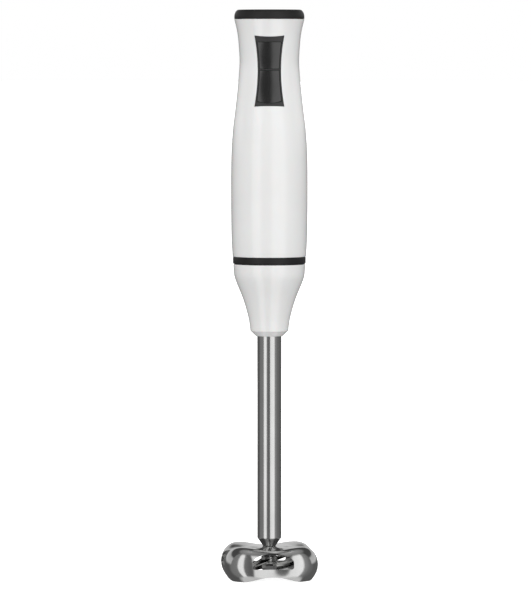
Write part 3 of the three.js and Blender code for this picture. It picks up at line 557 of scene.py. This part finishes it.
def button_surface(span, dish):
    """A dished key, deepest along its middle, with its rim just under the surround."""
    low, high = span[0] + KEY_GAP, span[1] - KEY_GAP
    half = panel_half_width(PANEL_RIM + KEY_GAP)
    bm = bmesh.new()
    rows, cols = 30, 24
    grid = []
    for j in range(rows + 1):
        v = j / rows
        z = low + (high - low) * v
        wide = half(z)
        line = []
        for i in range(cols + 1):
            u = 2 * i / cols - 1
            across = (1 - u * u) ** 1.2
            along = math.sin(math.pi * v) ** 0.6
            sag = key_sag(z) * (1 - u * u) if span == TURBO_SPAN else 0
            line.append(bm.verts.new(on_surface(wide * u, z - sag, -0.15 - dish * across * along)))
        grid.append(line)
    for j in range(rows):
        for i in range(cols):
            bm.faces.new((grid[j][i], grid[j][i + 1], grid[j + 1][i + 1], grid[j + 1][i]))
    return bm


for name, span in (("speed", SPEED_SPAN), ("turbo", TURBO_SPAN)):
    key = close_and_bevel(button_surface(span, 0.35), 3.0, 0.2)
    piece(name + "_key", key, name + "_button", button_black, [name + "_button"])

# ---------------------------------------------------------------- collar, sleeve, tube

collar_profile = [
    (19.1, COLLAR_BOTTOM), (24.2, COLLAR_BOTTOM), (24.5, COLLAR_BOTTOM + 0.1), (24.65, COLLAR_BOTTOM + 0.35),
    (24.7, COLLAR_BOTTOM + 0.8), (24.72, FLANGE_TOP - 2.2), (24.72, FLANGE_TOP - 0.8), (24.68, FLANGE_TOP - 0.35),
    (24.5, FLANGE_TOP - 0.1), (24.2, FLANGE_TOP), (22, FLANGE_TOP), (22, 228.4), (22.6, 228.4), (22.6, 231.3),
    (9.6, 231.3), (9.6, 228.4), (20.9, 228.4), (20.9, 218), (19.1, 218)]
piece("collar_ring", lathe(collar_profile, 144), "motor_unit", charcoal, ["lock_collar"])

top_ease = [(24.33, SLEEVE_TOP - 0.45), (24.2, SLEEVE_TOP - 0.12), (23.9, SLEEVE_TOP)]
sleeve_profile = [(8.3, SLEEVE_BOTTOM), (8.8, SLEEVE_BOTTOM), (9.15, SLEEVE_BOTTOM + 0.15)]
sleeve_profile += [(9.15 + 3.3 * t, SLEEVE_BOTTOM + 0.15 + 3.2 * t) for t in (0.25, 0.5, 0.75, 0.92)]
sleeve_profile += [(12.7, SLEEVE_BOTTOM + 3.45)]
sleeve_profile += [p for p in sleeve_curve if p[1] < SLEEVE_TOP - 0.6] + top_ease
sleeve_profile += [(18.8, SLEEVE_TOP), (18.8, 225.9), (16.6, 225.9), (16.6, SLEEVE_TOP - 5.8),
                   (15.6, SLEEVE_TOP - 5.8), (15.6, SLEEVE_TOP - 12), (13.5, 192), (11.4, 181), (10.4, 179.4),
                   (10.4, 190.6), (8.3, 190.6)]
piece("leg_sleeve_shell", lathe(sleeve_profile, 144), "leg", white, ["leg_sleeve"])


def tube_section(angle):
    """Outline of the tube in one direction: straight, then drawn in through eight flutes to its neck."""
    flute = (1 + math.cos(8 * angle)) / 2
    outer = [(4.3, TUBE_FOOT)]
    for i in range(1, 15):
        share = i / 14
        curve = share ** 0.92
        depth = 0.55 * math.sin(math.pi * min(1, share ** 0.8)) ** 0.8 * flute ** 1.4
        outer.append((4.3 + 3.9 * curve - depth, TUBE_FOOT + 5.5 * share))
    outer += [(8.2, TUBE_FOOT + 5.9), (8.2, TUBE_FOOT + 7)]
    outer += [(8.2, z) for z in spread(40, 188.9, 12)]
    inner = [(7.5, 188.9), (7.5, TUBE_FOOT + 8.4), (6.4, TUBE_FOOT + 5), (3.7, TUBE_FOOT + 0.6), (3.7, TUBE_FOOT)]
    return outer + inner


tube = sweep(bmesh.new(), tube_section, [TAU * i / 192 for i in range(192)])
piece("shaft_tube_skin", tube, "leg", tube_steel, ["shaft_tube"], 55)

# ---------------------------------------------------------------- guard

GUARD_TURN = math.radians(5)
SHEET = 0.9


def guard_section(angle, steps=14):
    lobe = (1 - math.cos(4 * (angle - GUARD_TURN))) / 2
    radius = 31.2 + (38 - 31.2) * lobe
    crest = 20.6 + (23.2 - 20.6) * lobe
    rim = 3.4 * (1 - min(1, lobe * 1.12))
    girth, bend, inset_hem = 10.5, 9.5, 1.4 + (5.8 - 1.4) * lobe

    def side(inset):
        pts = []
        for t in (0, 0.12, 0.3, 0.5, 0.75):
            ease = 1 - (1 - t) ** 2
            pts.append((radius - inset_hem * (1 - ease) - inset, rim + (girth - rim) * t))
        for i in range(steps + 1):
            a = math.pi / 2 * i / steps
            pts.append((radius - bend + (bend - inset) * math.cos(a),
                        girth + (crest - girth - inset) * math.sin(a)))
        start = (radius - bend, crest - inset)
        for t in (0.2, 0.4, 0.6, 0.8):
            s = t * t * (3 - 2 * t)
            pts.append((start[0] + (11.2 - start[0]) * t, start[1] + (TUBE_FOOT - inset - start[1]) * s))
        pts += [(11.2, TUBE_FOOT - inset), (8, TUBE_FOOT - inset), (4.4, TUBE_FOOT - inset)]
        return pts

    return side(0) + list(reversed(side(SHEET)))


def window_cutter(turn):
    sill, half = 9.0, 14.0
    spring = sill + 4.6
    outline = arc(half - 1.5, sill + 1.5, 1.5, -90, 0, 6) + arc(0, spring, half, 0, 180, 36, 19.3 - spring)
    outline += arc(-half + 1.5, sill + 1.5, 1.5, 180, 270, 6)
    bm = prism(outline, -45, -16)
    bmesh.ops.rotate(bm, verts=bm.verts, cent=(0, 0, 0), matrix=Matrix.Rotation(turn, 3, "Z"))
    return bm


guard = sweep(bmesh.new(), guard_section, [TAU * i / 240 + GUARD_TURN for i in range(240)])
guard = cut(guard, [window_cutter(GUARD_TURN + TAU * i / 4) for i in range(4)])
piece("blade_guard_skin", guard, "leg", stainless, ["blade_guard"], 40)

# ---------------------------------------------------------------- retainer, seal, blade

foot = TUBE_FOOT - SHEET - 0.1
retainer_profile = rounded([
    (3.7, foot - 5), (8.8, foot - 5), (10.8, foot - 3.4), (10.8, foot), (6.5, foot), (6.5, foot - 3.8),
    (3.7, foot - 3.8)], 0.4, 4)
piece("seal_retainer_cup", lathe(retainer_profile, 96), "leg", charcoal, ["seal_retainer"])

BLADE_Z, BLADE_TURN, BLADE_SHEET = 12.2, math.radians(34), 1.4


def wing(pitch, turn):
    """One wing: a ground plate, thinned towards its leading edge, pitched up or down from the hub."""
    half, reach = 5.5, 22.0
    lead = [(x, -half) for x in spread(0, 9, 6)]
    lead += [((1 - t) ** 2 * 9 + 2 * t * (1 - t) * (reach - 3) + t * t * reach,
              (1 - t) ** 2 * -half + 2 * t * (1 - t) * -half + t * t * (half - 2.2)) for t in spread(0.1, 1, 9)]
    trail = [(7.0 * i / 6, half) for i in range(6)]
    trail += [((1 - t) ** 2 * 7 + 2 * t * (1 - t) * 12 + t * t * (reach - 6),
               (1 - t) ** 2 * half + 2 * t * (1 - t) * (half - 3) + t * t * (half - 1.6)) for t in spread(0, 1, 6)]
    trail += [((1 - t) ** 2 * (reach - 6) + 2 * t * (1 - t) * (reach - 2) + t * t * reach,
               (1 - t) ** 2 * (half - 1.6) + 2 * t * (1 - t) * (half - 0.2) + t * t * (half - 2.2))
              for t in spread(0.2, 0.8, 3)]
    n = max(len(lead), len(trail))

    def resample(line):
        return [Vector(line[min(round(i * (len(line) - 1) / (n - 1)), len(line) - 1)]) for i in range(n)]
    a_line, b_line = resample(lead), resample(trail)
    bm = bmesh.new()
    across = [(0.0, 0.12), (0.1, 0.55), (0.22, 1.0), (0.5, 1.0), (0.8, 1.0), (0.93, 0.6), (1.0, 0.2)]
    sheets = []
    for side in (1, -1):
        rows = []
        for i in range(n):
            row = []
            for t, thick in across:
                p = a_line[i].lerp(b_line[i], t)
                z = BLADE_SHEET / 2 + side * thick * BLADE_SHEET / 2 * 0.98
                row.append(bm.verts.new((p.x, p.y, z)))
            rows.append(row)
        sheets.append(rows)
    for rows in sheets:
        for i in range(n - 1):
            for j in range(len(across) - 1):
                bm.faces.new((rows[i][j], rows[i + 1][j], rows[i + 1][j + 1], rows[i][j + 1]))
    up, down = sheets
    for i in range(n - 1):
        for j in (0, len(across) - 1):
            bm.faces.new((up[i][j], up[i + 1][j], down[i + 1][j], down[i][j]))
    for i in (0, n - 1):
        for j in range(len(across) - 1):
            bm.faces.new((up[i][j], up[i][j + 1], down[i][j + 1], down[i][j]))
    place = (Matrix.Rotation(turn, 4, "Z") @ Matrix.Translation((4, 0, BLADE_Z))
             @ Matrix.Rotation(pitch, 4, "Y") @ Matrix.Translation((-4, 0, 0)))
    bmesh.ops.transform(bm, matrix=place, verts=bm.verts)
    return bm


hub_profile = rounded([
    (3.1, BLADE_Z - 1.6), (5.6, BLADE_Z - 1.6), (5.6, BLADE_Z + 3), (3.1, BLADE_Z + 3)], 0.5, 4)
hub = lathe(hub_profile, 64)
piece("blade_hub", hub, "blade_drive", blade_steel, ["blade"])
piece("blade_wing_up", wing(math.radians(-14), BLADE_TURN), "blade_drive", blade_steel, (), 25)
piece("blade_wing_down", wing(math.radians(26), BLADE_TURN + math.pi), "blade_drive", blade_steel,
      (), 25)

nut = bmesh.new()
nut_rings = [(3.9, 5.6), (4.75, 5.9), (5, 6.4), (5, 10.0), (4.8, 10.3), (3.2, 10.3)]
sides = 6
layers = [[nut.verts.new((r * math.cos(TAU * i / sides), r * math.sin(TAU * i / sides), z)) for i in range(sides)]
          for r, z in nut_rings]
for a, b in zip(layers, layers[1:]):
    for i in range(sides):
        k = (i + 1) % sides
        nut.faces.new((a[i], a[k], b[k], b[i]))
nut.faces.new(reversed(layers[0]))
nut.faces.new(layers[-1])
piece("blade_cap_nut", nut, "blade_drive", stainless, ["blade_nut"], 25)

# ---------------------------------------------------------------- stage, light and camera

scene = bpy.context.scene
scene.view_settings.view_transform = "Standard"
scene.view_settings.look = "None"


def floor_material(name, glow):
    n = Nodes(name)
    n.link(n.colours(n.noise(6, 3), (0.90, 0.90, 0.90), (0.93, 0.93, 0.93)), n.shader.inputs["Base Color"])
    n.link(n.between(n.noise(20, 3), 0.75, 0.85), n.shader.inputs["Roughness"])
    n.bumps((n.noise(300, 2), 0.05, 0.1))
    n.sets(Specular_IOR_Level=0.1, Emission_Color=(1, 1, 1, 1), Emission_Strength=glow)
    return n.material


def floor_ring(name, inner, outer, seen_in_metal, pale):
    bm = bmesh.new()
    sides = 96
    ins = [bm.verts.new((inner * math.cos(TAU * i / sides), inner * math.sin(TAU * i / sides), 0))
           for i in range(sides)]
    outs = [bm.verts.new((outer * math.cos(TAU * i / sides), outer * math.sin(TAU * i / sides), 0))
            for i in range(sides)]
    for i in range(sides):
        k = (i + 1) % sides
        bm.faces.new((ins[i], outs[i], outs[k], ins[k]))
    if inner < 0.01:
        bmesh.ops.remove_doubles(bm, verts=ins, dist=0.02)
    mesh = bpy.data.meshes.new(name)
    bm.to_mesh(mesh)
    bm.free()
    obj = bpy.data.objects.new(name, mesh)
    scene.collection.objects.link(obj)
    mesh.materials.append(pale)
    obj.location.z = -0.0002
    obj.visible_glossy = seen_in_metal
    obj.visible_diffuse = False


floor_ring("floor", 0.0, 60.0, False, floor_material("pale_floor", 0.75))

world = bpy.data.worlds.new("studio")
scene.world = world
world.use_nodes = True
tree = world.node_tree
tree.nodes.clear()


def sky_node(kind, *sources, **settings):
    """A node in the world's tree, its first inputs taken from sockets or plain numbers."""
    node = tree.nodes.new(kind)
    for key, value in settings.items():
        setattr(node, key, value)
    for i, source in enumerate(sources):
        if isinstance(source, (int, float)):
            node.inputs[i].default_value = source
        elif source is not None:
            tree.links.new(source, node.inputs[i])
    return node


def sky_sum(operation, *sources):
    return sky_node("ShaderNodeMath", *sources, operation=operation).outputs[0]


def sky_range(value, low, high, to_low=0.0, to_high=1.0):
    return sky_node("ShaderNodeMapRange", value, low, high, to_low, to_high).outputs["Result"]


def sky_levels(value, stops):
    """Grey levels against a value from 0 to 1."""
    node = sky_node("ShaderNodeValToRGB", value)
    elements = node.color_ramp.elements
    node.color_ramp.interpolation = "EASE"
    elements.remove(elements[-1])
    for i, (place, level) in enumerate(stops):
        stop = elements[0] if i == 0 else elements.new(place)
        stop.position = place
        stop.color = (level, level, level, 1)
    return node.outputs["Color"]


# Soft boxes round the object: degrees from the front towards the right, and how bright each direction is.
ROUND = [(-180, 0.12), (-118, 0.12), (-90, 0.24), (-58, 0.27), (-50, 1.15), (-30, 1.2), (-21, 0.22), (0, 0.16),
         (4, 0.18), (11, 1.1), (46, 1.2), (58, 0.32), (90, 0.19), (118, 0.14), (180, 0.12)]
# Overhead: the sine of the direction's height, and how bright the ceiling and the back of the studio are.
OVER = [(0.0, 0.55), (0.06, 0.7), (0.36, 0.6), (0.5, 0.08), (0.82, 0.08), (0.94, 0.3), (1.0, 0.4)]

direction = sky_node("ShaderNodeSeparateXYZ", sky_node("ShaderNodeTexCoord").outputs["Generated"])
east, north, up = direction.outputs
bearing = sky_sum("ARCTAN2", east, sky_sum("MULTIPLY", north, -1.0))
around = sky_levels(sky_range(bearing, -math.pi, math.pi), [((d + 180) / 360, v) for d, v in ROUND])
above = sky_levels(up, OVER)
behind = sky_range(north, -0.1, 0.1)
over_share = sky_range(sky_sum("MULTIPLY_ADD", behind, 0.82, up), 0.82, 0.92)
levels = sky_node("ShaderNodeMix", data_type="RGBA")
for socket, name in ((over_share, "Factor_Float"), (around, "A_Color"), (above, "B_Color")):
    tree.links.new(socket, next(i for i in levels.inputs if i.identifier == name))
studio = sky_node("ShaderNodeBackground", next(o for o in levels.outputs if o.identifier == "Result_Color"))
soft = sky_node("ShaderNodeBackground")
soft.inputs["Color"].default_value = (0.77, 0.77, 0.77, 1)
paper = sky_node("ShaderNodeBackground")
paper.inputs["Color"].default_value = (1, 1, 1, 1)
path = sky_node("ShaderNodeLightPath")
table = sky_range(up, -0.84, -0.92)
soft_share = sky_sum("MAXIMUM", path.outputs["Is Diffuse Ray"], table)
lit = sky_node("ShaderNodeMixShader", soft_share, studio.outputs[0], soft.outputs[0])
seen = sky_node("ShaderNodeMixShader", path.outputs["Is Camera Ray"], lit.outputs[0], paper.outputs[0])
sky_node("ShaderNodeOutputWorld", seen.outputs[0])


def area(name, place, target, size, power, in_metal=False):
    light = bpy.data.lights.new(name, "AREA")
    light.shape = "RECTANGLE"
    light.size, light.size_y = size
    light.energy = power
    obj = bpy.data.objects.new(name, light)
    scene.collection.objects.link(obj)
    obj.location = place
    obj.rotation_euler = (Vector(target) - Vector(place)).to_track_quat("-Z", "Y").to_euler()
    obj.visible_glossy = in_metal
    obj.visible_camera = False


area("front_fill", (-0.5, -1.8, 0.9), (0, 0, 0.2), (1.4, 1.4), 14)
area("right_fill", (1.3, -1.0, 0.8), (0, 0, 0.2), (1.0, 1.2), 5)
area("overhead", (0, -0.1, 2.2), (0, 0, 0), (2.4, 2.4), 14)
area("back_fill", (0.3, 1.8, 1.0), (0, 0, 0.2), (1.6, 1.4), 10)

camera_data = bpy.data.cameras.new("camera")
camera_data.lens = 300.7
camera_data.sensor_width = 36
camera_data.clip_end = 100
camera = bpy.data.objects.new("camera", camera_data)
scene.collection.objects.link(camera)
aim = Vector((-0.0026, 0, 0.1897))
camera.location = Vector((-0.0026, -3.4, 0.357))
camera.rotation_euler = (aim - camera.location).to_track_quat("-Z", "Y").to_euler()
scene.camera = camera
